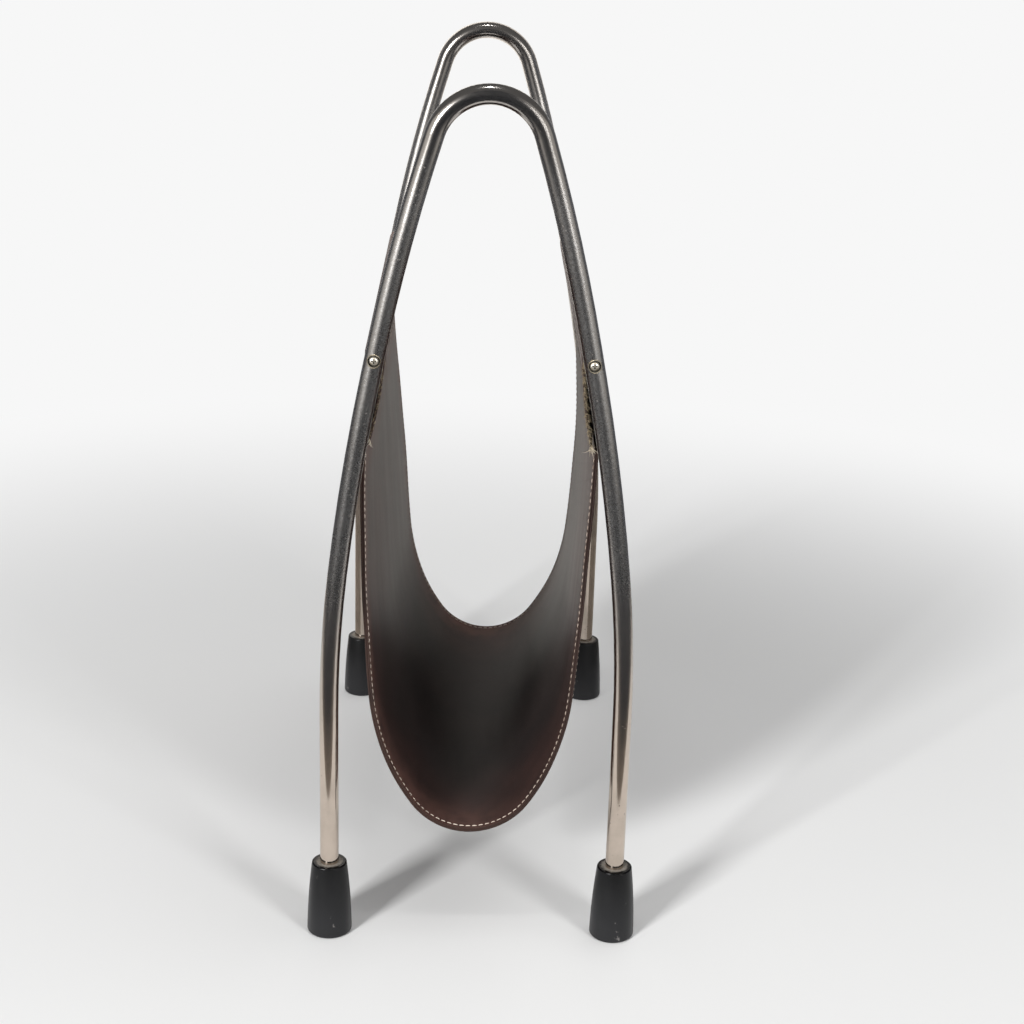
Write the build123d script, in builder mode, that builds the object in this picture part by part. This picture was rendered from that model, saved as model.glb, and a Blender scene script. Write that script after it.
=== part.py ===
from build123d import *

import os
from math import asin, atan2, copysign, cos, degrees, hypot, radians, sin, sqrt

# Magazine rack: a leather sling hung between two bent tube hoops.
# Millimetres. +Z is up, +X is to the right, the front hoop is on the -Y side.
# The origin is on the floor, midway between the four feet.

# Hoops
tube_diameter = 12.0
tube_wall = 1.2
overall_height = 548.0  # floor to the top of the crown
leg_spacing = 185.0  # between the axes of one hoop's lower legs
hoop_spacing = 374.0  # between the planes of the two hoops
crown_radius = 33.0  # bend at the top, to the tube's axis
knee_height = 156.0  # the lower legs are plumb up to here
knee_radius = 820.0  # slow bend above the plumb legs, to the tube's axis
knee_angle = 6.5  # degrees turned by that bend
bow_radius = 1500.0  # slower bend from there up to the rod, to the tube's axis
seat_length = 20.0  # straight stretch of the leg where a rod is fastened

# Feet
foot_height = 50.0
foot_rim = 5.2  # rubber round the tube at the foot's mouth
foot_flare = 3.3  # growth of the foot's radius from mouth to floor
foot_bulge = 0.7  # how far the side bows out
foot_floor = 9.0  # rubber under the washer
foot_rounding = 2.0  # bottom edge
foot_rim_rounding = 1.0  # mouth edge
washer_thickness = 1.5
washer_clearance = 0.2  # between the washer and the bore

# Rods and their fastenings
rod_height = 386.0  # rod axis above the floor
rod_diameter = 10.0
rod_seat_clearance = 0.02  # between the rod's hollowed end and the tube
cup_diameter = 8.4
cup_wall = 0.6
cup_depth = 2.6  # tube surface to the cup's floor
cup_floor = 1.6
cup_proud = 0.2  # rim height above the tube's surface
screw_diameter = 3.5
screw_clearance = 0.25  # round the shank in the cup and the tube
thread_clearance = 0.02  # round the shank in the rod
thread_length = 14.0  # shank inside the rod
thread_spare = 2.0  # tapped hole beyond the screw's tip
head_diameter = 5.8
head_height = 2.2
head_rounding = 1.0
recess_length = 3.2  # cross recess in the head
recess_width = 0.9
recess_depth = 1.2

# Sling
sling_end_gap = 10.0  # tube surface to the leather's edge
sling_clearance = 64.0  # floor to the lowest leather
leather_thickness = 1.3
lining_thickness = 1.2
bottom_radius = 46.0  # outer face at the bottom of the U
bottom_sweep = 55.5  # degrees of that arc on each side
flank_radius = 156.0  # outer face between the bottom and the side
flank_slope = 84.8  # degrees above level where the side begins
loop_play = 0.1  # between the leather and the rod
loop_drop = 58.0  # rod axis to the end of the sewn-down flap
seam_gap = 0.3  # between the flap's end and the panel
lining_gap = 1.0  # between the flap's end and the lining

# Stitching
thread_width = 0.8
thread_height = 0.4
edge_stitch_inset = 4.0  # stitch line to the leather's edge
seam_stitch_inset = 5.0  # stitch line to the flap's end

# Sizes that follow from the ones above
tube_radius = tube_diameter / 2
leg_x = leg_spacing / 2
hoop_y = hoop_spacing / 2
leg_end = foot_floor + washer_thickness
rod_radius = rod_diameter / 2
screw_radius = screw_diameter / 2
cup_radius = cup_diameter / 2
cup_seat = tube_radius - cup_depth  # from the tube's axis out to the cup's floor
sling_length = hoop_spacing - tube_diameter - 2 * sling_end_gap
sling_thickness = leather_thickness + lining_thickness
flap_end = rod_height - loop_drop
lining_end = flap_end - lining_gap
edge_stitch_y = sling_length / 2 - edge_stitch_inset
seam_stitch_length = 2 * (edge_stitch_y - edge_stitch_inset)

# Sign of Y for each hoop, and of X for each of its legs
ENDS = {"front": -1, "back": 1}
HANDS = {"left": -1, "right": 1}


def direction(angle):
    """Unit vector at an angle in degrees from +X."""
    return Vector(cos(radians(angle)), sin(radians(angle)))


def closing_arc(start, heading, center, radius):
    """Arc that leaves start at a heading in degrees and runs into a circle on its left, tangent to it.

    Returns the arc's centre, its radius (negative where it turns right) and the touching point.
    """
    inward = direction(heading + 90)
    reach = start - center
    arc_radius = (radius**2 - reach.dot(reach)) / (2 * (inward.dot(reach) + radius))
    arc_center = start + inward * arc_radius
    outward = (center - arc_center).normalized() * copysign(1, arc_radius)
    return arc_center, arc_radius, center + outward * radius


def arc_point(center, radius, height):
    """Point of a standing arc at a height, on the side that the radius's sign gives."""
    return Vector(center.X + copysign(sqrt(radius**2 - (height - center.Y) ** 2), radius), height)


# Axis of a hoop's right leg, as X and height: plumb leg, knee bend, bow, straight seat, upper bow, crown
knee_center = Vector(leg_x - knee_radius, knee_height)
knee_end = knee_center + direction(knee_angle) * knee_radius
bow_center = knee_end - direction(knee_angle) * bow_radius
half_seat = seat_length / 2
seat_turn = asin((rod_height - bow_center.Y) / hypot(bow_radius, half_seat)) - atan2(half_seat, bow_radius)
rod_lean = degrees(seat_turn)
seat_start = bow_center + direction(rod_lean) * bow_radius
rod_center = seat_start + direction(90 + rod_lean) * half_seat
seat_end = seat_start + direction(90 + rod_lean) * seat_length
crown_center = Vector(0, overall_height - tube_radius - crown_radius)
_, upper_radius, upper_end = closing_arc(seat_end, 90 + rod_lean, crown_center, crown_radius)
crown_angle = degrees(atan2(upper_end.Y - crown_center.Y, upper_end.X))

# Right half of the sling's outer face, as X and height: bottom, flank, side, loop round the rod
bottom_center = Vector(0, sling_clearance + bottom_radius)
flank_center = bottom_center - direction(bottom_sweep - 90) * (flank_radius - bottom_radius)
flank_end = flank_center + direction(flank_slope - 90) * flank_radius
loop_radius = rod_radius + loop_play + leather_thickness
side_center, side_radius, side_end = closing_arc(flank_end, flank_slope, rod_center, loop_radius)
loop_start = (side_end - rod_center).normalized()

# The flap runs straight from the rod's inner side down to the panel
flap_foot = arc_point(side_center, side_radius - leather_thickness - seam_gap, flap_end)
flap_reach = rod_center - flap_foot
flap_turn = degrees(asin((rod_radius + loop_play) / flap_reach.length))
flap_heading = degrees(atan2(flap_reach.Y, flap_reach.X)) + flap_turn
flap_up = direction(flap_heading)
flap_out = direction(flap_heading + 90)


def cradle_line(inset, end):
    """Right half of the sling's U, inset from its outer face, ending at a point of the side."""
    CenterArc(bottom_center, bottom_radius - inset, -90, bottom_sweep)
    CenterArc(flank_center, flank_radius - inset, bottom_sweep - 90, flank_slope - bottom_sweep)
    side_start = flank_center + direction(flank_slope - 90) * (flank_radius - inset)
    RadiusArc(side_start, end, inset - side_radius)


def strip_outline(outer_inset, inner_inset, height):
    """Right half of a strip of the U between two insets, cut level at a height."""
    outer_end = arc_point(side_center, side_radius - outer_inset, height)
    inner_end = arc_point(side_center, side_radius - inner_inset, height)
    cradle_line(outer_inset, outer_end)
    cradle_line(inner_inset, inner_end)
    Line(outer_end, inner_end)


def loop_line(inset):
    """Leather round the right rod, inset from its outer face, from the panel over to the flap."""
    radius = loop_radius - inset
    start = rod_center + loop_start * radius
    top = rod_center + Vector(0, radius)
    end = rod_center + flap_out * radius
    cradle_line(inset, start)
    ThreePointArc(start, top, end)
    Line(end, flap_foot + flap_out * (leather_thickness - inset))


def seat_plane(end, hand):
    """Plane across a screw where it crosses the tube's axis, facing out of the rack."""
    origin = (HANDS[hand] * rod_center.X, ENDS[end] * hoop_y, rod_height)
    return Plane(origin, x_dir=(-ENDS[end], 0, 0), z_dir=(0, ENDS[end], 0))


def tube_plane(end, hand):
    """Plane square to the tube at a screw."""
    along = direction(90 + rod_lean)
    return Plane(seat_plane(end, hand).origin, z_dir=(HANDS[hand] * along.X, 0, along.Y))


def leg_plane(end, hand, height):
    """Level plane on the axis of a lower leg."""
    return Plane((HANDS[hand] * leg_x, ENDS[end] * hoop_y, height))


os.makedirs("parts", exist_ok=True)

# Hoops: chromed tube, with a hole for each cup on the outside and for each shank on the inside
for end, side in ENDS.items():
    with BuildPart() as hoop:
        with BuildLine(Plane.XZ.offset(-side * hoop_y)) as axis_line:
            Line((leg_x, leg_end), (leg_x, knee_height))
            CenterArc(tuple(knee_center), knee_radius, 0, knee_angle)
            CenterArc(tuple(bow_center), bow_radius, knee_angle, rod_lean - knee_angle)
            Line(tuple(seat_start), tuple(seat_end))
            RadiusArc(tuple(seat_end), tuple(upper_end), -upper_radius)
            CenterArc(tuple(crown_center), crown_radius, crown_angle, 90 - crown_angle)
            mirror(about=Plane.YZ)
        with BuildSketch(leg_plane(end, "right", leg_end)):
            Circle(tube_radius)
            Circle(tube_radius - tube_wall, mode=Mode.SUBTRACT)
        sweep(path=axis_line.wire())
        for hand in HANDS:
            with BuildSketch(seat_plane(end, hand)):
                Circle(cup_radius)
            extrude(amount=tube_diameter, mode=Mode.SUBTRACT)
            with BuildSketch(seat_plane(end, hand)):
                Circle(screw_radius + screw_clearance)
            extrude(amount=-tube_diameter, mode=Mode.SUBTRACT)
    hoop.part.label = f"{end}_hoop"
    export_step(hoop.part, f"parts/{end}_hoop.step")

# Rods: hollowed at both ends to sit on the tubes, and tapped for the screws
for hand, side in HANDS.items():
    with BuildPart() as rod:
        with BuildSketch(Plane.XZ):
            with Locations((side * rod_center.X, rod_height)):
                Circle(rod_radius)
        extrude(amount=hoop_y - tube_radius / 2, both=True)
        for end in ENDS:
            with BuildSketch(tube_plane(end, hand)):
                Circle(tube_radius + rod_seat_clearance)
            extrude(amount=rod_diameter, both=True, mode=Mode.SUBTRACT)
            with BuildSketch(seat_plane(end, hand)):
                Circle(screw_radius + thread_clearance)
            extrude(amount=-(tube_radius + thread_length + thread_spare), mode=Mode.SUBTRACT)
    rod.part.label = f"{hand}_rod"
    export_step(rod.part, f"parts/{hand}_rod.step")

# Fastenings: a cup pressed into the tube and a round-headed screw sunk in it
for end in ENDS:
    for hand in HANDS:
        seat = seat_plane(end, hand)
        with BuildPart() as cup:
            with BuildSketch(seat.offset(cup_seat - cup_floor)):
                Circle(cup_radius)
            extrude(amount=tube_diameter)
            with BuildSketch(tube_plane(end, hand)):
                Circle(tube_radius + cup_proud)
            extrude(amount=cup_diameter, both=True, mode=Mode.INTERSECT)
            with BuildSketch(seat.offset(cup_seat)):
                Circle(cup_radius - cup_wall)
            extrude(amount=tube_diameter, mode=Mode.SUBTRACT)
            with BuildSketch(seat.offset(cup_seat)):
                Circle(screw_radius + screw_clearance)
            extrude(amount=-cup_floor, mode=Mode.SUBTRACT)
        cup.part.label = f"{end}_{hand}_screw_cup"
        export_step(cup.part, f"parts/{end}_{hand}_screw_cup.step")

        with BuildPart() as screw:
            with BuildSketch(seat.offset(cup_seat)):
                Circle(head_diameter / 2)
            extrude(amount=head_height)
            crown_face = screw.faces().sort_by(Axis(seat.origin, seat.z_dir))[-1]
            fillet(crown_face.edges(), head_rounding)
            with BuildSketch(seat.offset(cup_seat + head_height)):
                Rectangle(recess_length, recess_width)
                Rectangle(recess_width, recess_length)
            extrude(amount=-recess_depth, mode=Mode.SUBTRACT)
            with BuildSketch(seat.offset(cup_seat)):
                Circle(screw_radius)
            extrude(amount=-(cup_seat + tube_radius + thread_length))
        screw.part.label = f"{end}_{hand}_screw"
        export_step(screw.part, f"parts/{end}_{hand}_screw.step")

# Feet: rubber ferrules pushed on to the leg ends, each with a steel washer under the tube
foot_mouth_radius = tube_radius + foot_rim
foot_base_radius = foot_mouth_radius + foot_flare
for end in ENDS:
    for hand in HANDS:
        stand = leg_plane(end, hand, 0)
        with BuildPart() as foot:
            with BuildSketch(Plane(stand.origin, x_dir=(1, 0, 0), z_dir=(0, -1, 0))):
                with BuildLine():
                    Line((0, 0), (foot_base_radius, 0))
                    SagittaArc((foot_base_radius, 0), (foot_mouth_radius, foot_height), -foot_bulge)
                    Polyline(
                        (foot_mouth_radius, foot_height),
                        (tube_radius, foot_height),
                        (tube_radius, foot_floor),
                        (0, foot_floor),
                        (0, 0),
                    )
                make_face()
            revolve(axis=Axis(stand.origin, (0, 0, 1)))
            fillet(foot.faces().sort_by(Axis.Z)[0].edges(), foot_rounding)
            mouth_edges = foot.faces().sort_by(Axis.Z)[-1].edges()
            fillet(mouth_edges.sort_by(SortBy.RADIUS)[-1], foot_rim_rounding)
        foot.part.label = f"{end}_{hand}_foot"
        export_step(foot.part, f"parts/{end}_{hand}_foot.step")

        with BuildPart() as washer:
            with BuildSketch(leg_plane(end, hand, foot_floor)):
                Circle(tube_radius - washer_clearance)
            extrude(amount=washer_thickness)
        washer.part.label = f"{end}_{hand}_foot_washer"
        export_step(washer.part, f"parts/{end}_{hand}_foot_washer.step")

# Sling: the outer leather wraps both rods, and the lining lies inside it between the two flaps
with BuildPart() as sling_outer:
    with BuildSketch(Plane.XZ):
        with BuildLine():
            loop_line(0)
            loop_line(leather_thickness)
            Line(flap_foot, flap_foot + flap_out * leather_thickness)
            mirror(about=Plane.YZ)
        make_face()
    extrude(amount=sling_length / 2, both=True)
sling_outer.part.label = "sling_outer"
export_step(sling_outer.part, "parts/sling_outer.step")

with BuildPart() as sling_lining:
    with BuildSketch(Plane.XZ):
        with BuildLine():
            strip_outline(leather_thickness, sling_thickness, lining_end)
            mirror(about=Plane.YZ)
        make_face()
    extrude(amount=sling_length / 2, both=True)
sling_lining.part.label = "sling_lining"
export_step(sling_lining.part, "parts/sling_lining.step")

# Edge stitching: a run of thread on each face of the sling, along its front and back edges
thread_end = lining_end - edge_stitch_inset
for end, side in ENDS.items():
    with BuildPart() as stitching:
        for outer_inset in (-thread_height, sling_thickness):
            with BuildSketch(Plane.XZ.offset(-side * edge_stitch_y)):
                with BuildLine():
                    strip_outline(outer_inset, outer_inset + thread_height, thread_end)
                    mirror(about=Plane.YZ)
                make_face()
            extrude(amount=thread_width / 2, both=True)
    stitching.part.label = f"{end}_edge_stitching"
    export_step(stitching.part, f"parts/{end}_edge_stitching.step")

# Loop stitching: a run of thread across each flap and another on the panel's outer face behind it
flap_stitch = flap_foot + flap_out * leather_thickness + flap_up * seam_stitch_inset
panel_stitch = arc_point(side_center, side_radius, flap_end + seam_stitch_inset)
panel_out = (panel_stitch - side_center).normalized() * copysign(1, side_radius)
panel_up = Vector(-panel_out.Y, panel_out.X)
for hand, side in HANDS.items():
    with BuildPart() as stitching:
        for start, along, away in (
            (flap_stitch, flap_up, flap_out),
            (panel_stitch, panel_up, panel_out),
        ):
            with BuildSketch(Plane.XZ):
                with BuildLine():
                    corners = [
                        start,
                        start + along * thread_width,
                        start + along * thread_width + away * thread_height,
                        start + away * thread_height,
                    ]
                    Polyline([(side * corner.X, corner.Y) for corner in corners], close=True)
                make_face()
            extrude(amount=seam_stitch_length / 2, both=True)
    stitching.part.label = f"{hand}_loop_stitching"
    export_step(stitching.part, f"parts/{hand}_loop_stitching.step")
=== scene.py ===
import bpy
import numpy as np
from mathutils import Matrix, Vector


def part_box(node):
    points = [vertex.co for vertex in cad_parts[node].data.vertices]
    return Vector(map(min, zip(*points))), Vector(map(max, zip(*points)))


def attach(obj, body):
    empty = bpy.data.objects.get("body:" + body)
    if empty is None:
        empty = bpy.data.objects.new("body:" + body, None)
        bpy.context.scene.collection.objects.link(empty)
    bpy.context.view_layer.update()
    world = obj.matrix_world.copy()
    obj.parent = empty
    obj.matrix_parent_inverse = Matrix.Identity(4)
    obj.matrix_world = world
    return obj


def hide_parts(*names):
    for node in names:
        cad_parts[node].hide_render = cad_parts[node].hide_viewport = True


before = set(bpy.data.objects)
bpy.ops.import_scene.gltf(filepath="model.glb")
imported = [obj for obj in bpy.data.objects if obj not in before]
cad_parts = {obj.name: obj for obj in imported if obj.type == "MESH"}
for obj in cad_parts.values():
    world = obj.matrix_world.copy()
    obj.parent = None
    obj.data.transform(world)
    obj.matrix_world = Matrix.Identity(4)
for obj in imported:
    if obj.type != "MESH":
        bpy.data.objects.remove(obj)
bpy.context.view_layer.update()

# A magazine rack: chromed hoops on rubber feet, and a leather sling hung on rods between them.
# Metres. +Z is up, +X to the right, the front hoop on the -Y side, and the floor is at Z = 0.

MM = 0.001
ENDS = {"front": -1, "back": 1}
HANDS = {"left": -1, "right": 1}
CORNERS = [f"{end}_{hand}" for end in ENDS for hand in HANDS]

# Camera, as it stood for the photograph
IMAGE_PIXELS = 1024
FOCAL_PIXELS = 1936.0
SENSOR_WIDTH = 36.0  # millimetres, as the camera's own setting is
CAMERA_PLACE = (-9.9 * MM, -1297.0 * MM, 682.2 * MM)
CAMERA_PITCH = np.radians(19.36)  # below level
CAMERA_YAW = np.radians(1.49)  # right of +Y
CAMERA_ROLL = np.radians(1.73)

# Cards round the set
CARD_WIDTH = 0.62  # from the middle to either side
CARD_DEPTH = 0.385  # from the middle to the front
CARD_HEIGHT = 0.75
CARD_SWEEP = 140  # degrees of dark card to either side of the front
LEG_CARD_RADIUS = 0.11  # of the small cards that stand round the back legs' outer sides
LEG_CARD_HEIGHT = 0.29
LEG_CARD_SWEEP = (24, 150)  # degrees from the front

# Room and light
FLOOR_REACH = 9.0  # from the middle to each wall
WALL_HEIGHT = 3.0
LAMP_AIM = (0, 0, 0.22)
WORLD_LIGHT = 0.13

# Leather and thread
LEATHER = 1.3 * MM
LINING = 1.2 * MM
LAYER_GAP = 0.06 * MM  # between the two layers
BOTTOM_RADIUS = 46 * MM
BOTTOM_SWEEP = np.radians(55.5)
FLANK_RADIUS = 156 * MM
FLANK_SLOPE = np.radians(84.8)
LOOP_PLAY = 0.1 * MM
LOOP_DROP = 58 * MM  # rod axis to the end of the sewn-down flap
SEAM_GAP = 0.3 * MM
LINING_GAP = 1.0 * MM
EDGE_ROUNDING = 0.4 * MM
PATH_STEP = 1.6 * MM
STITCH_PITCH = 4.4 * MM
STITCH_LENGTH = 3.3 * MM
STITCH_INSET = 4.0 * MM
SEAM_INSET = 5.5 * MM
THREAD_RADIUS = 0.42 * MM
GROOVE_DEPTH = 0.28 * MM
GROOVE_WIDTH = 0.8 * MM
BELLY = 0.9 * MM  # how far the panels bow out between their edges
BELLY_RUN = 300 * MM  # from the bottom of the U to where the bow ends
WAVE_HEIGHT = 0.22 * MM  # along the cut edges
HELD_RUN = 335 * MM  # from the bottom of the U to where the rods hold the leather still
HELD_FADE = 50 * MM
SWING_DEPTH = 170 * MM  # below the rods, where the sideways drift is full
SWING_MIDDLE = 3.0 * MM
SWING_TURN = 6.3 * MM  # more at the back end, and less at the front
LOOSE = {"left": 2.2 * MM, "right": 3.0 * MM}  # how far a flap's front end stands off its panel
LOOSE_REACH = 38 * MM  # from the front edge
LOOSE_TURN = 2.2  # radians of a sine from the loop to the flap's end
TEAR_DEPTH = 2.4 * MM
TEAR_REACH = 9 * MM  # from the front edge
FIBRE_RADIUS = 0.2 * MM
THREAD_END_RADIUS = 0.4 * MM
THREAD_END_LENGTH = 4.2 * MM


class Signal:
    """A shader socket that takes part in sums: each operator adds a Math node."""

    def __init__(self, finish, socket):
        self.finish = finish
        self.socket = socket

    def math(self, operation, *others):
        return self.finish.node("Math", {"operation": operation}, dict(enumerate((self, *others))))

    def __add__(self, other):
        return self.math("ADD", other)

    __radd__ = __add__

    def __sub__(self, other):
        return self.math("SUBTRACT", other)

    def __rsub__(self, other):
        return self.finish.node("Math", {"operation": "SUBTRACT"}, {0: other, 1: self})

    def __mul__(self, other):
        return self.math("MULTIPLY", other)

    __rmul__ = __mul__

    def ramp(self, low, high):
        """0 below low, 1 above high, eased between them; falling where low is the larger."""
        sockets = {0: self, 1: low, 2: high}
        return self.finish.node("MapRange", {"interpolation_type": "SMOOTHSTEP"}, sockets)


class Finish:
    """A procedural material while it is made."""

    def __init__(self, name):
        self.material = bpy.data.materials.new(name)
        self.material.use_nodes = True
        self.tree = self.material.node_tree
        self.tree.nodes.clear()

    def node(self, kind, settings=None, sockets=None, out=0):
        """Adds one node: its settings first, then the values or links of its sockets. Gives one output."""
        made = self.tree.nodes.new("ShaderNode" + kind)
        for name, value in (settings or {}).items():
            setattr(made, name, value)
        for key, value in (sockets or {}).items():
            if isinstance(value, Signal):
                self.tree.links.new(value.socket, made.inputs[key])
            else:
                made.inputs[key].default_value = value
        return Signal(self, made.outputs[out]) if made.outputs else None

    def place(self, *scale):
        """Object coordinates, stretched along each axis."""
        at = self.node("TexCoord", out="Object")
        return self.node("VectorMath", {"operation": "MULTIPLY"}, {0: at, 1: scale})

    def lie(self, *scale):
        """A leather piece's own coordinates: run along the U, place across it, depth."""
        at = self.node("Attribute", {"attribute_name": "lie"}, out="Vector")
        return self.node("VectorMath", {"operation": "MULTIPLY"}, {0: at, 1: scale})

    def noise(self, at, scale, detail=3.0, roughness=0.5):
        sockets = {"Vector": at, "Scale": scale, "Detail": detail, "Roughness": roughness}
        return self.node("TexNoise", None, sockets)

    def cells(self, at, scale, feature="F1", out="Distance"):
        return self.node("TexVoronoi", {"feature": feature}, {"Vector": at, "Scale": scale}, out)

    def mix(self, factor, first, second):
        """Colour between two others."""
        return self.node("Mix", {"data_type": "RGBA"}, {0: factor, 6: first, 7: second}, 2)

    def bump(self, height, distance, strength=1.0):
        return self.node("Bump", None, {"Height": height, "Distance": distance, "Strength": strength})

    def surface(self, **sockets):
        """Ends the material in one Principled shader. Socket names have _ for a space."""
        named = {name.replace("_", " "): value for name, value in sockets.items()}
        shader = self.node("BsdfPrincipled", None, named)
        self.node("OutputMaterial", None, {"Surface": shader})
        return self.material


def rgb(red, green, blue):
    """A colour given in sRGB from 0 to 255, as linear light."""
    share = np.array([red, green, blue]) / 255
    linear = np.where(share <= 0.04045, share / 12.92, ((share + 0.055) / 1.055) ** 2.4)
    return (*linear, 1.0)


def chrome_finish():
    """Old chrome plate: dulled, mottled and pitted on the upper legs, brighter with a few specks below."""
    f = Finish("pitted_chrome")
    at = f.place(1, 1, 1)
    height = f.node("SeparateXYZ", None, {"Vector": f.node("TexCoord", out="Object")}, "Z")
    dulled = height.ramp(110 * MM, 290 * MM)
    aged = dulled * height.ramp(530 * MM, 470 * MM)
    cloud = f.noise(at, 38, 4, 0.6)
    mottle = f.noise(at, 1000, 5, 0.75).ramp(0.34, 0.66)
    patches = f.noise(at, 110, 3).ramp(0.38, 0.68)
    pits = f.noise(at, 1250, 4, 0.6).ramp(0.6, 0.7) * patches * aged
    ragged = f.cells(at, 330) + f.noise(at, 1500, 2) * 0.2
    specks = ragged.ramp(0.3, 0.2) * (f.noise(at, 60, 3) + aged * 0.09).ramp(0.59, 0.69)
    wear = (pits * 0.8 + specks * 0.8).math("MINIMUM", 1.0)
    grain = f.noise(at, 620, 4, 0.7).ramp(0.42, 0.66) * dulled
    tone = f.mix(cloud.ramp(0.35, 0.7), rgb(208, 194, 181), rgb(192, 179, 166))
    tone = f.mix(dulled * 0.55 + aged * mottle * 0.25, tone, rgb(175, 177, 178))
    tone = f.mix(grain * (aged * 0.16 + 0.08), tone, rgb(100, 100, 101))
    colour = f.mix(wear, tone, rgb(118, 111, 104))
    gloss = cloud.ramp(0.4, 0.75) * 0.03 + dulled * 0.06 + aged * (mottle * 0.07 + 0.09) + wear * 0.12 + 0.1
    dents = f.bump(mottle * aged * 0.14 + cloud * 0.3 - wear * 0.6, 0.08 * MM, 0.4)
    return f.surface(Base_Color=colour, Metallic=1 - wear * 0.45, Roughness=gloss, Normal=dents)


def steel_finish():
    """Bright drawn steel with fine lines along the rod."""
    f = Finish("drawn_steel")
    lines = f.noise(f.place(2200, 30, 2200), 1, 2)
    colour = f.mix(lines.ramp(0.3, 0.7), rgb(170, 168, 164), rgb(140, 137, 132))
    return f.surface(Base_Color=colour, Metallic=1.0, Roughness=lines * 0.2 + 0.2)


def nickel_finish():
    """Bright nickel on a screw and its cup, with grime in stains, and painted shade darkening the recess and
    the ring between the two.

    The bump falls with the square of the distance from the screw's axis, which rounds the worn head.
    """
    f = Finish("worn_nickel")
    at = f.place(1, 1, 1)
    mirrored = f.node("VectorMath", {"operation": "ABSOLUTE"}, {0: at})
    axis = (rod_centre[0], 0.0, rod_centre[1])
    off = f.node("VectorMath", {"operation": "SUBTRACT"}, {0: mirrored, 1: axis})
    flat = f.node("VectorMath", {"operation": "MULTIPLY"}, {0: off, 1: (1.0, 0.0, 1.0)})
    radius = f.node("VectorMath", {"operation": "LENGTH"}, {0: flat}, "Value")
    reach = f.node("SeparateXYZ", None, {"Vector": mirrored}, "Y")
    face = -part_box("front_left_screw")[0].y
    # Painted shade: the ring between head and cup and the head's recess are darkened, besides the real
    # stains.
    ring = radius.ramp(2.7 * MM, 2.95 * MM) * radius.ramp(3.8 * MM, 3.6 * MM)
    recess = radius.ramp(1.8 * MM, 1.6 * MM) * reach.ramp(face - 0.2 * MM, face - 0.5 * MM)
    stain = f.noise(at, 420, 4, 0.65).ramp(0.55, 0.75) * 0.5
    dirt_and_shade = (ring * 0.9 + recess * 0.8 + stain).math("MINIMUM", 1.0)
    worn = f.noise(at, 700, 3).ramp(0.4, 0.65)
    colour = f.mix(dirt_and_shade, f.mix(worn, rgb(255, 250, 238), rgb(250, 238, 214)), rgb(44, 38, 26))
    colour = f.mix(radius.ramp(3.6 * MM, 3.9 * MM) * (1 - dirt_and_shade) * 0.6, colour, rgb(222, 202, 160))
    dome = f.bump(radius * radius * -110 + worn * 0.03 * MM, 1.0)
    return f.surface(Base_Color=colour, Metallic=1 - dirt_and_shade * 0.7, Roughness=dirt_and_shade * 0.2 + 0.46, Normal=dome)


def rubber_finish():
    """Black rubber: a ring of dust by the tube, a bare lip, small scuffs, and greyer towards the floor."""
    f = Finish("black_rubber")
    at = f.place(1, 1, 1)
    mirrored = f.node("VectorMath", {"operation": "ABSOLUTE"}, {0: at})
    foot_low, foot_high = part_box("back_right_foot")
    middle = (foot_low + foot_high) / 2
    off = f.node("VectorMath", {"operation": "SUBTRACT"}, {0: mirrored, 1: (middle.x, middle.y, 0.0)})
    flat = f.node("VectorMath", {"operation": "MULTIPLY"}, {0: off, 1: (1.0, 1.0, 0.0)})
    radius = f.node("VectorMath", {"operation": "LENGTH"}, {0: flat}, "Value")
    height = f.node("SeparateXYZ", None, {"Vector": at}, "Z")
    mouth = height.ramp(foot_high.z - 1.2 * MM, foot_high.z - 0.2 * MM)
    by_tube = (radius + f.noise(at, 300, 3) * 3 * MM).ramp(11 * MM, 9 * MM)
    dust = mouth * by_tube * f.noise(at, 700, 3).ramp(0.2, 0.5)
    scuffs = f.noise(f.place(130, 130, 75), 1, 5, 0.7).ramp(0.645, 0.7)
    bloom = f.noise(at, 34, 3).ramp(0.35, 0.7)
    colour = f.mix(bloom, rgb(8, 8, 9), rgb(15, 15, 16))
    colour = f.mix(height.ramp(foot_high.z, 4 * MM) * 0.5, colour, rgb(48, 48, 50))
    colour = f.mix(scuffs * 0.7, colour, rgb(124, 120, 118))
    colour = f.mix(dust * 0.75, colour, rgb(150, 144, 136))
    gloss = bloom * 0.12 + scuffs * 0.2 + dust * 0.4 + 0.3 - mouth * 0.06
    skin = f.bump(f.noise(at, 1500, 2) + scuffs * 1.5, 0.05 * MM, 0.5)
    return f.surface(Base_Color=colour, Roughness=gloss, Normal=skin, Specular_IOR_Level=0.24)


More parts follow.
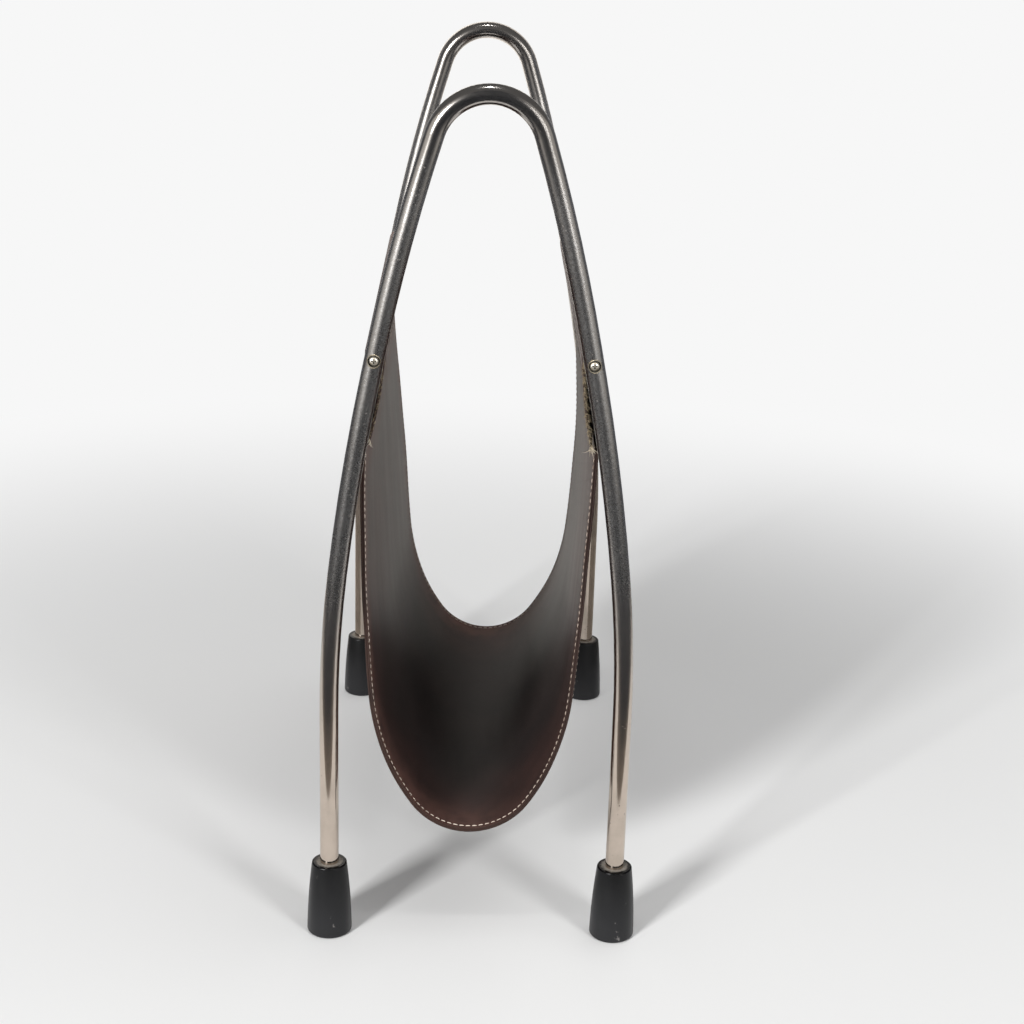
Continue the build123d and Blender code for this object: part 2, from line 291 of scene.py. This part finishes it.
def leather_finish(name, deep, warm):
    """Smooth brown leather: fine pebbled grain, redder and lighter along its cut edges, which is partly edge
    wear and partly painted light, strongest on the left; painted shade makes the bottom of the U darker and
    greyer away from its edges.

    A waxy coat lies on the sides, and reaches lower on the right towards the back.
    """
    f = Finish(name)
    at = f.lie(1, 1, 1)
    rim = f.node("Attribute", {"attribute_name": "rim"}, out="Fac")
    along, across = (f.node("SeparateXYZ", None, {"Vector": at}, axis) for axis in "XY")
    run = along.math("ABSOLUTE")
    pebbles = f.cells(at, 1100, "DISTANCE_TO_EDGE").ramp(0.0, 0.16)
    creases = f.noise(f.lie(180, 60, 60), 1, 5, 0.6)
    cloud = f.noise(at, 22, 4, 0.6)
    streaks = f.noise(f.lie(4, 34, 4), 1, 3, 0.6)
    edge = rim.ramp(40 * MM, 1.2 * MM) * f.noise(at, 60, 4).ramp(0.2, 0.6)
    cut = rim.ramp(0.9 * MM, 0.2 * MM)
    # Lighter, redder band along the cut edges: partly edge wear, partly painted light, kept strongest on the
    # left.
    worn = edge * (0.95 - along.ramp(-40 * MM, 50 * MM) * 0.72)
    polished = along.ramp(35 * MM, 115 * MM) * across.ramp(-40 * MM, 130 * MM)
    side = run.ramp(55 * MM, 150 * MM).math("MAXIMUM", polished)
    colour = f.mix(cloud.ramp(0.3, 0.7), deep, warm)
    # Painted shade: the bottom of the U, away from its edges, darkens towards a grey near black.
    painted_bottom_shade = run.ramp(210 * MM, 60 * MM) * rim.ramp(20 * MM, 95 * MM)
    colour = f.mix(painted_bottom_shade * 0.7, colour, rgb(32, 31, 31))
    colour = f.mix(worn, colour, rgb(100, 73, 66))
    colour = f.mix(cut * 0.85, colour, rgb(46, 35, 31))
    specks = f.cells(at, 160).ramp(0.045, 0.02) * f.noise(at, 24, 2).ramp(0.6, 0.7)
    colour = f.mix(specks * 0.8, colour, rgb(176, 160, 144))
    gloss = (1 - pebbles) * 0.08 + streaks.ramp(0.3, 0.7) * side * 0.08 + edge * 0.06 + 0.52
    wax = side * (1 - edge * 0.4) * (streaks.ramp(0.25, 0.75) * 0.22 + 0.21)
    grain = f.bump(pebbles * 0.6 + creases * 0.25, 0.08 * MM, 0.35)
    return f.surface(
        Base_Color=colour,
        Roughness=gloss,
        Normal=grain,
        Specular_IOR_Level=0.1,
        Coat_Weight=wax,
        Coat_Roughness=0.38,
    )


def thread_finish(name, clean, soiled_and_shaded):
    """Waxed thread with a little grime in patches, darker towards the right as painted shade, and the lines
    of its twist.
    """
    f = Finish(name)
    at = f.place(1, 1, 1)
    # Painted shade: the thread darkens towards the right.
    right = f.node("SeparateXYZ", None, {"Vector": at}, "X").ramp(5 * MM, 60 * MM)
    soil_and_shade = (f.noise(at, 90, 3).ramp(0.4, 0.7) * 0.55 + right * 0.6).math("MINIMUM", 1.0)
    twist = f.noise(at, 1800, 1)
    colour = f.mix(soil_and_shade, clean, soiled_and_shaded)
    return f.surface(Base_Color=colour, Roughness=0.7, Normal=f.bump(twist, 0.08 * MM, 0.6))


def floor_finish():
    """Plain pale floor that holds the shadow near the rack and turns into a white background far off."""
    f = Finish("pale_floor")
    colour = f.mix(f.noise(f.place(1, 1, 1), 3, 2), rgb(236, 236, 236), rgb(240, 240, 239))
    matt = {"Base Color": colour, "Roughness": 0.6, "Specular IOR Level": 0.0}
    plain = f.node("BsdfPrincipled", None, matt)
    white = f.node("Emission", None, {"Color": rgb(247, 247, 247), "Strength": 1.0})
    distance = f.node("VectorMath", {"operation": "LENGTH"}, {0: f.place(1, 1, 1)}, "Value")
    seen = f.node("LightPath", out="Is Camera Ray") + f.node("LightPath", out="Is Glossy Ray")
    seen = (seen + f.node("LightPath", out="Is Transmission Ray")).math("MINIMUM", 1.0)
    both = f.node("MixShader", None, {0: distance.ramp(0.3, 1.1) * seen, 1: plain, 2: white})
    f.node("OutputMaterial", None, {"Surface": both})
    return f.material


def card_finish(name, low, high, right, aside, glow):
    """Card that stands round the set for the chrome and the leather to mirror.

    One tone low, another above and a third above on the right, one more in a band on either side, and where
    glow is not 0 a lit field high on either side of the front, which reaches lower on the right.
    """
    f = Finish(name)
    at = f.node("TexCoord", out="Object")
    across, ahead, height = (f.node("SeparateXYZ", None, {"Vector": at}, axis) for axis in "XYZ")
    off = across.math("ABSOLUTE")
    uneven = f.noise(at, 2, 2) * 0.03
    upper = f.mix(across.ramp(-0.1, 0.1), high, right)
    colour = f.mix((height + uneven).ramp(0.01, 0.1), low, upper)
    colour = f.mix(off.ramp(0.17, 0.23) * off.ramp(0.42, 0.34) * height.ramp(0.02, 0.12), colour, aside)
    plain = f.node("BsdfPrincipled", None, {"Base Color": colour, "Roughness": 0.9})
    lit = f.mix(across.ramp(-0.1, 0.1), rgb(208, 205, 201), rgb(186, 184, 181))
    bright = f.node("Emission", None, {"Color": lit, "Strength": 1.0})
    raised = height + across.ramp(0.18, 0.34) * 0.06
    field = off.ramp(0.04, 0.32) * ahead.ramp(-0.02, -0.28) * raised.ramp(0.24, 0.42) * glow
    both = f.node("MixShader", None, {0: field, 1: plain, 2: bright})
    f.node("OutputMaterial", None, {"Surface": both})
    return f.material


def direction(angle):
    """Unit vectors at angles from +X."""
    return np.stack([np.cos(angle), np.sin(angle)], -1)


def angle_of(vector):
    return np.arctan2(vector[1], vector[0])


def closing_arc(start, heading, centre, radius):
    """Arc from start at a heading, run into a circle on its left: its centre, radius and last point."""
    inward = direction(heading + np.pi / 2)
    reach = start - centre
    arc_radius = (radius**2 - reach @ reach) / (2 * (inward @ reach + radius))
    arc_centre = start + inward * arc_radius
    away = centre - arc_centre
    return arc_centre, arc_radius, centre + away / np.linalg.norm(away) * radius


# The sling's section, as X and height of its outer face's right half
sling_low, sling_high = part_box("sling_outer")
half_length = sling_high.y
rod_low, rod_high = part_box("right_rod")
rod_centre = np.array([rod_low.x + rod_high.x, rod_low.z + rod_high.z]) / 2
rod_radius = (rod_high.z - rod_low.z) / 2
loop_radius = rod_radius + LOOP_PLAY + LEATHER
bottom_centre = np.array([0, sling_low.z + BOTTOM_RADIUS])
flank_centre = bottom_centre - direction(BOTTOM_SWEEP - np.pi / 2) * (FLANK_RADIUS - BOTTOM_RADIUS)
flank_end = flank_centre + direction(FLANK_SLOPE - np.pi / 2) * FLANK_RADIUS
side_centre, side_radius, side_end = closing_arc(flank_end, FLANK_SLOPE, rod_centre, loop_radius)
flap_height = rod_centre[1] - LOOP_DROP


def side_angle(inset, height):
    """Angle on the side's arc at a height, at a depth under the outer face."""
    return np.arcsin((height - side_centre[1]) / (side_radius - inset))


flap_inset = LEATHER + SEAM_GAP
flap_foot = side_centre + direction(side_angle(flap_inset, flap_height)) * (side_radius - flap_inset)
flap_reach = rod_centre - flap_foot
flap_turn = np.arcsin((rod_radius + LOOP_PLAY) / np.linalg.norm(flap_reach))
flap_out = direction(angle_of(flap_reach) + flap_turn + np.pi / 2)
flap_length = np.sqrt(flap_reach @ flap_reach - (rod_radius + LOOP_PLAY) ** 2)


def arcs_line(inset, side_stop, with_loop):
    """Points of the U's right half at a depth under the outer face, and the run of the outer face there.

    Each stretch is an arc: centre plus radius times direction, for evenly spaced angles. The loop round
    the rod is one more arc, and the flap a straight line down from it.
    """
    level = -np.pi / 2
    stretches = [
        (bottom_centre, BOTTOM_RADIUS, level, level + BOTTOM_SWEEP),
        (flank_centre, FLANK_RADIUS, level + BOTTOM_SWEEP, level + FLANK_SLOPE),
        (side_centre, side_radius, level + FLANK_SLOPE, side_stop),
    ]
    if with_loop:
        stretches.append((rod_centre, loop_radius, side_stop, angle_of(flap_out) % (2 * np.pi)))
    points = []
    runs = []
    total = 0.0
    for centre, radius, start, stop in stretches:
        share = np.linspace(0, 1, 400)
        points.append(centre + direction(start + (stop - start) * share) * (radius - inset))
        runs.append(total + radius * (stop - start) * share)
        total = runs[-1][-1]
    if with_loop:
        first = points[-1][-1]
        last = flap_foot + flap_out * (LEATHER - inset)
        share = np.linspace(0, 1, 400)
        points.append(first + (last - first) * share[:, None])
        runs.append(total + np.linalg.norm(last - first) * share)
    return np.vstack(points), np.concatenate(runs)


def u_line(inset, side_stop, with_loop):
    """The whole U from left to right, evenly spaced: run, points and the unit normals of the outer side."""
    points, runs = arcs_line(inset, side_stop, with_loop)
    points = np.vstack([points[::-1] * (-1, 1), points[1:]])
    runs = np.concatenate([-runs[::-1], runs[1:]])
    count = int(2 * runs[-1] / PATH_STEP) | 1
    run = np.linspace(runs[0], runs[-1], count)
    keep = np.concatenate([[True], np.diff(runs) > 0])
    line = np.stack([np.interp(run, runs[keep], points[keep, k]) for k in (0, 1)], -1)
    along = np.gradient(line, axis=0)
    along /= np.linalg.norm(along, axis=1, keepdims=True)
    return run, line, np.stack([along[:, 1], -along[:, 0]], -1)


def sway(run, across):
    """How far the leather stands off its plain section: a slight belly, and slow waves on the cut edges."""
    share = across / half_length
    belly = BELLY * (1 - share**2) * np.sin(np.clip(np.abs(run) / BELLY_RUN, 0, 1) * np.pi)
    front = np.sin(run * 41 + 0.6) + 0.6 * np.sin(run * 97 + 2.1)
    back = np.sin(run * 37 + 4.0) + 0.6 * np.sin(run * 88 + 1.2)
    waves = np.where(across < 0, front, back) * np.abs(share) ** 6 * WAVE_HEIGHT
    held = np.clip((HELD_RUN - np.abs(run)) / HELD_FADE, 0, 1)
    return (belly + waves) * held


def swing(across, height):
    """Sideways drift of the hung leather: none at the rods, growing downwards, the back to the right."""
    fall = np.clip((rod_centre[1] - height) / SWING_DEPTH, 0, 1)
    return (SWING_MIDDLE + SWING_TURN * across / half_length) * fall**2 * (3 - 2 * fall)


def flap_share(run, end):
    """0 at the loop, growing to 1 at a flap's lower end, where end is the length of the run to there."""
    return np.clip((np.abs(run) - end) / flap_length + 1, 0, 1)


def loosen(run, across, end):
    """How far the flaps bulge off their panels at the front, where the seam has given way."""
    amount = np.where(run > 0, LOOSE["right"], LOOSE["left"])
    fade = np.exp(-(((across + half_length) / LOOSE_REACH) ** 2))
    return amount * np.sin(flap_share(run, end) * LOOSE_TURN) * fade


def tear(run, across, end):
    """How far the right flap's front edge is torn back, in ragged waves."""
    ragged = 1 + 0.5 * np.sin(run * 1150) + 0.35 * np.sin(run * 1900 + 1)
    begun = np.clip(flap_share(run, end) * 6, 0, 1) * (run > 0)
    return TEAR_DEPTH * ragged * begun * np.exp(-(across + half_length) / TEAR_REACH)


def hang(line, normal, across, lift):
    """Points lifted off the sling's line along its normal, at places across it, with the sideways drift."""
    side = line[..., 0] + normal[..., 0] * lift
    height = line[..., 1] + normal[..., 1] * lift
    return np.stack([side + swing(across, height), across + 0 * side, height], -1)


def groove(run, across, stitched):
    """Depth of the furrow that the edge stitching pulls into the leather, deepest between the stitches."""
    off = (np.abs(across) - (half_length - STITCH_INSET)) / GROOVE_WIDTH
    pull = 0.75 - 0.25 * np.cos(2 * np.pi * run / STITCH_PITCH)
    return GROOVE_DEPTH * pull * np.exp(-(off**2)) * (np.abs(run) < stitched)


def half_section():
    """Points across one face of a leather strip, from edge to edge: place and share of half thickness."""
    turn = np.radians([8, 30, 52, 74])
    corner = EDGE_ROUNDING * (1 - np.cos(turn))
    near = np.linspace(EDGE_ROUNDING, 9 * MM, 24)
    middle = np.linspace(9 * MM, half_length, 18)[1:]
    inset = np.concatenate([corner, near, middle])
    height = np.concatenate([np.sin(turn), np.ones(len(near) + len(middle))])
    left = inset - half_length
    return np.concatenate([left, -left[-2::-1]]), np.concatenate([height, height[-2::-1]])


def grid_faces(rows, columns):
    """Quads of rows of points, where the last column meets the first."""
    index = np.arange(rows * columns).reshape(rows, columns)
    index = np.hstack([index, index[:, :1]])
    return np.stack([index[:-1, :-1], index[1:, :-1], index[1:, 1:], index[:-1, 1:]], -1).reshape(-1, 4)


def new_piece(name, points, faces, material, values=None):
    """A smooth mesh object from arrays of points and quads, with values or vectors of its points."""
    mesh = bpy.data.meshes.new(name)
    points = points.reshape(-1, 3)
    mesh.vertices.add(len(points))
    mesh.vertices.foreach_set("co", points.astype(np.float32).ravel())
    mesh.loops.add(faces.size)
    mesh.loops.foreach_set("vertex_index", faces.astype(np.int32).ravel())
    mesh.polygons.add(len(faces))
    mesh.polygons.foreach_set("loop_start", np.arange(0, faces.size, 4, dtype=np.int32))
    mesh.polygons.foreach_set("use_smooth", np.ones(len(faces), bool))
    for key, array in (values or {}).items():
        kind, field = ("FLOAT", "value") if array.ndim == 1 else ("FLOAT_VECTOR", "vector")
        layer = mesh.attributes.new(key, kind, "POINT")
        layer.data.foreach_set(field, array.astype(np.float32).ravel())
    mesh.update(calc_edges=True)
    mesh.validate()
    mesh.materials.append(material)
    piece = bpy.data.objects.new(name, mesh)
    bpy.context.scene.collection.objects.link(piece)
    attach(piece, "root")
    return piece


def leather_strip(name, inset, thickness, side_stop, with_loop, stitched, material):
    """A strip of leather: its flat section carried along the U.

    Each point is the U's point at mid thickness, plus its outward normal times sway and half the
    thickness, less the stitches' furrow on the face that shows; the ends are closed by quads between faces.
    """
    run, line, normal = u_line(inset + thickness / 2, side_stop, with_loop)
    across, share = half_section()
    across = np.concatenate([across, across[::-1]])
    share = np.concatenate([share, -share[::-1]])
    shown = share > 0 if with_loop else share < 0
    depth = groove(run[:, None], across, stitched) * shown
    lift = share * (thickness / 2 - depth) + sway(run[:, None], across)
    place = across
    if with_loop:
        lift += loosen(run[:, None], across, run[-1])
        place = across + tear(run[:, None], across, run[-1])
    points = hang(line[:, None], normal[:, None], place, lift)
    columns = len(across)
    faces = grid_faces(len(run), columns)
    first = np.arange(columns // 2 - 1)
    cap = np.stack([first, first + 1, columns - 2 - first, columns - 1 - first], -1)
    last = cap[:, ::-1] + (len(run) - 1) * columns
    faces = np.vstack([faces, cap, last])
    lie = np.empty_like(points)
    lie[..., 0] = run[:, None]
    lie[..., 1] = across
    lie[..., 2] = share * thickness / 2
    ends = run[-1] - np.abs(run)
    rim = np.minimum(half_length - np.abs(across), ends[:, None])
    rim = rim + EDGE_ROUNDING * (np.abs(share) > 0.999)
    values = {"lie": lie.reshape(-1, 3), "rim": rim.ravel()}
    return new_piece(name, points, faces, material, values)


def thread_stitches(centres, along, out, seed):
    """Stitches as short arched threads: for each, rings round a line along it that dips in at both ends.

    A ring's point is the centre, plus along times the distance, plus out times the arch, plus the
    ring's circle across; the circle shrinks at the ends where the thread goes into the leather.
    """
    draw = np.random.default_rng(seed)
    count = len(centres)
    side = np.cross(along, out)
    skew = draw.normal(0, 0.05, (count, 1))
    along = along + side * skew
    length = STITCH_LENGTH * (1 + draw.normal(0, 0.04, (count, 1, 1, 1)))
    place = np.linspace(-0.5, 0.5, 9)
    arch = 1 - (2 * np.abs(place)) ** 3
    girth = np.sqrt(np.clip(1.02 - (2 * np.abs(place)) ** 6, 0.02, 1))
    turn = np.linspace(0, 2 * np.pi, 8, endpoint=False)
    rise = THREAD_RADIUS * (arch * 1.1 - 0.75)[None, :, None, None]
    circle = THREAD_RADIUS * girth[None, :, None, None]
    points = (
        centres[:, None, None, :]
        + along[:, None, None, :] * length * place[None, :, None, None]
        + out[:, None, None, :] * (rise + circle * 0.8 * np.sin(turn)[None, None, :, None])
        + side[:, None, None, :] * circle * np.cos(turn)[None, None, :, None]
    )
    faces = grid_faces(len(place), len(turn))
    lid = np.array([[0, 1, 2, 3], [0, 3, 4, 7], [4, 5, 6, 7]])
    lids = np.vstack([lid[:, ::-1], lid + (len(place) - 1) * len(turn)])
    faces = np.vstack([faces, lids])
    every = faces[None] + (np.arange(count) * len(place) * len(turn))[:, None, None]
    return points.reshape(-1, 3), every.reshape(-1, 4)


def join(*meshes):
    """Points and faces of several meshes as one."""
    points = np.vstack([p for p, _ in meshes])
    starts = np.cumsum([0] + [len(p) for p, _ in meshes[:-1]])
    return points, np.vstack([f + start for (_, f), start in zip(meshes, starts)])


def edge_stitches(end, inset, face, stop, seed):
    """A row of stitches on one face of the sling, STITCH_INSET in from its front or back edge."""
    run, line, normal = u_line(inset, stop, False)
    last = np.floor((run[-1] - STITCH_INSET) / STITCH_PITCH)
    at = np.arange(-last, last + 1) * STITCH_PITCH
    across = np.full(len(at), ENDS[end] * (half_length - STITCH_INSET))
    out = np.stack([np.interp(at, run, normal[:, 0]), 0 * at, np.interp(at, run, normal[:, 1])], -1)
    lift = sway(at, across) - face * GROOVE_DEPTH * 0.5
    line = np.stack([np.interp(at, run, line[:, k]) for k in (0, 1)], -1)
    centres = hang(line, out[:, ::2], across, lift)
    along = np.stack([-out[:, 2], 0 * at, out[:, 0]], -1)
    return thread_stitches(centres, along, out * face, seed)


def seam_stitches(hand, start, out, first, seed):
    """A level row of stitches by a flap's lower end, from first backwards, on the face with normal out."""
    last = np.floor((half_length - 2 * STITCH_INSET) / STITCH_PITCH)
    at = np.arange(-last, last + 1) * STITCH_PITCH
    at = at[at > first]
    mirror = np.array([HANDS[hand], 1, 1])
    centres = np.stack([0 * at + start[0], at, 0 * at + start[1]], -1) * mirror
    centres[:, 0] += swing(at, centres[:, 2])
    along = np.tile([0.0, 1.0, 0.0], (len(at), 1))
    outs = np.tile([out[0], 0.0, out[1]], (len(at), 1)) * mirror
    return thread_stitches(centres, along, outs, seed)


def fibres(starts, headings, lengths, radius, seed):
    """Loose fibres: for each, squares of points round a line that starts along its heading and curls off.

    A square's point is the start, plus heading times the distance, plus two random bends that grow with
    powers of the distance, plus a corner across the heading, which shrinks to the tip. Ends are closed.
    """
    draw = np.random.default_rng(seed)
    count = len(starts)
    headings = headings / np.linalg.norm(headings, axis=1, keepdims=True)
    side = np.cross(headings, (1.0, 0.0, 0.0))
    side /= np.linalg.norm(side, axis=1, keepdims=True)
    other = np.cross(side, headings)
    share = np.linspace(0, 1, 7)[None, :, None, None]
    bend = draw.normal(0, 0.3, (count, 1, 1, 3))
    curl = draw.normal(0, 0.12, (count, 1, 1, 3))
    far = lengths[:, None, None, None]
    course = headings[:, None, None] * share + bend * share**2 + curl * share**4
    spine = starts[:, None, None] + far * course
    corner = np.radians([45, 135, 225, 315])[:, None]
    square = side[:, None, None] * np.cos(corner) + other[:, None, None] * np.sin(corner)
    points = spine + radius * (1.05 - share) * square
    rows = share.shape[1]
    ends = np.array([[0, 1, 2, 3], [3, 2, 1, 0]]) + [[0], [(rows - 1) * 4]]
    index = np.vstack([grid_faces(rows, 4), ends])
    every = index[None] + (np.arange(count) * rows * 4)[:, None, None]
    return points.reshape(-1, 3), every.reshape(-1, 4)


def fray(hand, loop_stop, count, reach, seed):
    """Fuzz along the front edge of one flap: where each fibre starts, and which way it goes."""
    draw = np.random.default_rng(seed)
    run, line, normal = u_line(LEATHER / 2, loop_stop, True)
    at = HANDS[hand] * (run[-1] - flap_length * draw.uniform(0, 0.97, count))
    across = np.full(count, -half_length)
    line = np.stack([np.interp(at, run, line[:, k]) for k in (0, 1)], -1)
    normal = np.stack([np.interp(at, run, normal[:, k]) for k in (0, 1)], -1)
    lift = loosen(at, across, run[-1]) + draw.uniform(-0.5, 0.5, count) * LEATHER
    starts = hang(line, normal, across + tear(at, across, run[-1]) + 0.3 * MM, lift)
    headings = draw.normal(0, 0.4, (count, 3)) + np.array([HANDS[hand] * 0.25, -0.3, -0.6])
    lengths = reach * draw.uniform(0.25, 1.0, count)
    return starts, headings, lengths


def make_fray(loop_stop):
    """Torn leather fibres on both flaps, and the broken ends of the seams' thread."""
    fibre = thread_finish("torn_fibres", rgb(182, 168, 138), rgb(124, 110, 88))
    pale = thread_finish("broken_thread", rgb(224, 215, 198), rgb(176, 162, 140))
    pieces = []
    for hand, count, reach, ends in (("left", 130, 2.2 * MM, 5), ("right", 380, 4.2 * MM, 18)):
        starts, headings, lengths = fray(hand, loop_stop, count, reach, 40 + count)
        points, faces = fibres(starts, headings, lengths, FIBRE_RADIUS, 41 + count)
        pieces.append(new_piece(f"{hand}_loop_fuzz", points, faces, fibre))
        low = starts[np.argsort(starts[:, 2])[:ends]]
        aside = np.random.default_rng(count).normal(0, 0.3, (ends, 3)) + np.array([0.15, -0.3, -0.4])
        lengths = np.full(ends, THREAD_END_LENGTH)
        points, faces = fibres(low, aside, lengths, THREAD_END_RADIUS, 43 + count)
        pieces.append(new_piece(f"{hand}_seam_ends", points, faces, pale))
    return pieces


def make_sling():
    """Outer leather, lining and thread in place of the plain solids."""
    loop_stop = angle_of(side_end - rod_centre)
    lining_stop = side_angle(LEATHER, flap_height - LINING_GAP)
    stitched = u_line(0, lining_stop, False)[0][-1] - STITCH_INSET / 2
    hide = leather_finish("sling_leather", rgb(53, 39, 36), rgb(65, 46, 42))
    inner = leather_finish("lining_leather", rgb(48, 37, 35), rgb(60, 44, 41))
    outer = leather_strip(
        "sling_outer_leather",
        0,
        LEATHER,
        loop_stop,
        True,
        stitched,
        hide,
    )
    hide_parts("sling_outer")
    lining = leather_strip(
        "sling_lining_leather",
        LEATHER + LAYER_GAP,
        LINING - LAYER_GAP,
        lining_stop,
        False,
        stitched,
        inner,
    )
    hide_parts("sling_lining")
    thread = thread_finish("cream_thread", rgb(218, 204, 190), rgb(152, 134, 120))
    brown_thread = thread_finish("brown_thread", rgb(104, 84, 70), rgb(70, 54, 44))
    rows = make_fray(loop_stop)
    for seed, end in enumerate(ENDS):
        points, faces = join(
            edge_stitches(end, 0, 1, lining_stop, seed),
            edge_stitches(end, LEATHER + LINING, -1, lining_stop, seed + 10),
        )
        row = new_piece(f"{end}_edge_stitches", points, faces, thread)
        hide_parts(f"{end}_edge_stitching")
        rows.append(row)
    flap_up = np.array([flap_out[1], -flap_out[0]])
    flap_seam = flap_foot + flap_out * LEATHER + flap_up * SEAM_INSET
    panel_out = direction(side_angle(0, flap_height + SEAM_INSET))
    panel_seam = side_centre + panel_out * side_radius
    for seed, hand in enumerate(HANDS):
        points, faces = join(
            seam_stitches(hand, flap_seam, flap_out, LOOSE_REACH * 1.5 - half_length, seed + 20),
            seam_stitches(hand, panel_seam, panel_out, -half_length, seed + 30),
        )
        row = new_piece(f"{hand}_loop_stitches", points, faces, brown_thread)
        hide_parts(f"{hand}_loop_stitching")
        rows.append(row)
    outer_run = u_line(LEATHER / 2, loop_stop, True)[0]
    lining_run = u_line(LEATHER + LINING / 2, lining_stop, False)[0]


def dress_frame():
    """Finishes for the solids that show as they are."""
    chrome = chrome_finish()
    steel = steel_finish()
    nickel = nickel_finish()
    rubber = rubber_finish()
    finishes = {f"{end}_hoop": chrome for end in ENDS}
    finishes.update({f"{hand}_rod": steel for hand in HANDS})
    for corner in CORNERS:
        finishes[f"{corner}_screw"] = nickel
        finishes[f"{corner}_screw_cup"] = nickel
        finishes[f"{corner}_foot"] = rubber
        finishes[f"{corner}_foot_washer"] = steel
    for node, material in finishes.items():
        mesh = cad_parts[node].data
        mesh.materials.clear()
        mesh.materials.append(material)


def ring_card(name, middle, radii, top, sweep, material):
    """A card that stands along part of an ellipse round a middle, seen in reflections only."""
    turn = np.radians(np.linspace(*sweep, 41))
    plan = np.column_stack([radii[0] * np.sin(turn), -radii[1] * np.cos(turn)]) + middle
    foot, head = (np.column_stack([plan, np.full(len(turn), height)]) for height in (1 * MM, top))
    index = np.arange(len(turn) - 1)
    quads = np.stack([index, index + 1, index + 1 + len(turn), index + len(turn)], -1)
    mesh = bpy.data.meshes.new(name)
    mesh.from_pydata(np.vstack([foot, head]).tolist(), [], quads.tolist())
    mesh.materials.append(material)
    card = bpy.data.objects.new(name, mesh)
    bpy.context.scene.collection.objects.link(card)
    card.visible_camera = False
    card.visible_diffuse = False
    card.visible_shadow = False
    return card


def make_stage():
    """Floor, cards for the reflections, soft lamps and a pale surrounding."""
    floor = make_floor()
    grey = rgb(84, 87, 93)
    dark = card_finish("dark_card", rgb(168, 160, 152), grey, grey, grey, 1.0)
    white = card_finish("white_card", rgb(228, 223, 216), rgb(255, 250, 243), rgb(196, 191, 185), grey, 0.0)
    before = (-CARD_SWEEP, CARD_SWEEP)
    behind = (CARD_SWEEP, 360 - CARD_SWEEP)
    round_rack = ((0, 0), (CARD_WIDTH, CARD_DEPTH), CARD_HEIGHT)
    cards = [
        ring_card("front_card", *round_rack, before, dark),
        ring_card("back_card", *round_rack, behind, white),
    ]
    pale = rgb(214, 208, 202)
    shade = card_finish("leg_card", pale, pale, pale, pale, 0.0)
    for hand, side in HANDS.items():
        low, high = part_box(f"back_{hand}_foot")
        leg = ((low + high) / 2).xy
        radii = (side * LEG_CARD_RADIUS, LEG_CARD_RADIUS)
        cards.append(ring_card(f"{hand}_leg_card", leg, radii, LEG_CARD_HEIGHT, LEG_CARD_SWEEP, shade))
    add_lamp("key_lamp", place=(-2.43, -3.42, 1.62), size=0.8, power=208)
    add_lamp("side_lamp", place=(1.6, -2.2, 1.1), size=0.6, power=34)
    add_lamp("top_lamp", place=(0.0, -0.25, 1.9), size=0.14, power=3)
    fill = add_lamp("fill_lamp", place=(0.4, 0.3, 2.4), size=1.8, power=15)
    fill.visible_glossy = False
    world = bpy.data.worlds.new("studio")
    bpy.context.scene.world = world
    world.use_nodes = True
    background = world.node_tree.nodes["Background"]
    background.inputs["Color"].default_value = (1.0, 1.0, 1.0, 1.0)
    background.inputs["Strength"].default_value = WORLD_LIGHT


def make_floor():
    """A square floor with low walls round it, all of one finish."""
    turns = [(-1, -1), (1, -1), (1, 1), (-1, 1)]
    corners = [(across * FLOOR_REACH, ahead * FLOOR_REACH) for across, ahead in turns]
    points = [(*corner, height) for height in (0.0, WALL_HEIGHT) for corner in corners]
    sides = [((k + 1) % 4, k, k + 4, (k + 1) % 4 + 4) for k in range(4)]
    mesh = bpy.data.meshes.new("floor")
    mesh.from_pydata(points, [], [(0, 1, 2, 3), *sides])
    mesh.materials.append(floor_finish())
    floor = bpy.data.objects.new("floor", mesh)
    bpy.context.scene.collection.objects.link(floor)
    return floor


def add_lamp(name, place, size, power):
    """A square soft lamp aimed at the middle of the rack."""
    data = bpy.data.lights.new(name, "AREA")
    data.energy = power
    data.size = size
    lamp = bpy.data.objects.new(name, data)
    lamp.location = place
    aim = Vector(LAMP_AIM) - lamp.location
    lamp.rotation_euler = aim.to_track_quat("-Z", "Y").to_euler()
    bpy.context.scene.collection.objects.link(lamp)
    return lamp


def make_camera():
    """The photograph's own view: yaw and pitch give the forward axis, and roll turns the other two."""
    ahead = np.array(
        [
            np.sin(CAMERA_YAW) * np.cos(CAMERA_PITCH),
            np.cos(CAMERA_YAW) * np.cos(CAMERA_PITCH),
            -np.sin(CAMERA_PITCH),
        ]
    )
    level = np.array([np.cos(CAMERA_YAW), -np.sin(CAMERA_YAW), 0.0])
    upright = np.cross(level, ahead)
    right = np.cos(CAMERA_ROLL) * level + np.sin(CAMERA_ROLL) * upright
    up = np.cos(CAMERA_ROLL) * upright - np.sin(CAMERA_ROLL) * level
    data = bpy.data.cameras.new("camera")
    data.sensor_width = SENSOR_WIDTH
    data.lens = FOCAL_PIXELS / IMAGE_PIXELS * SENSOR_WIDTH
    camera = bpy.data.objects.new("camera", data)
    turned = np.column_stack([right, up, -ahead])
    camera.matrix_world = Matrix.Translation(CAMERA_PLACE) @ Matrix(turned.tolist()).to_4x4()
    bpy.context.scene.collection.objects.link(camera)
    bpy.context.scene.camera = camera


make_stage()
make_camera()
dress_frame()
make_sling()
bpy.context.scene.view_settings.view_transform = "Standard"
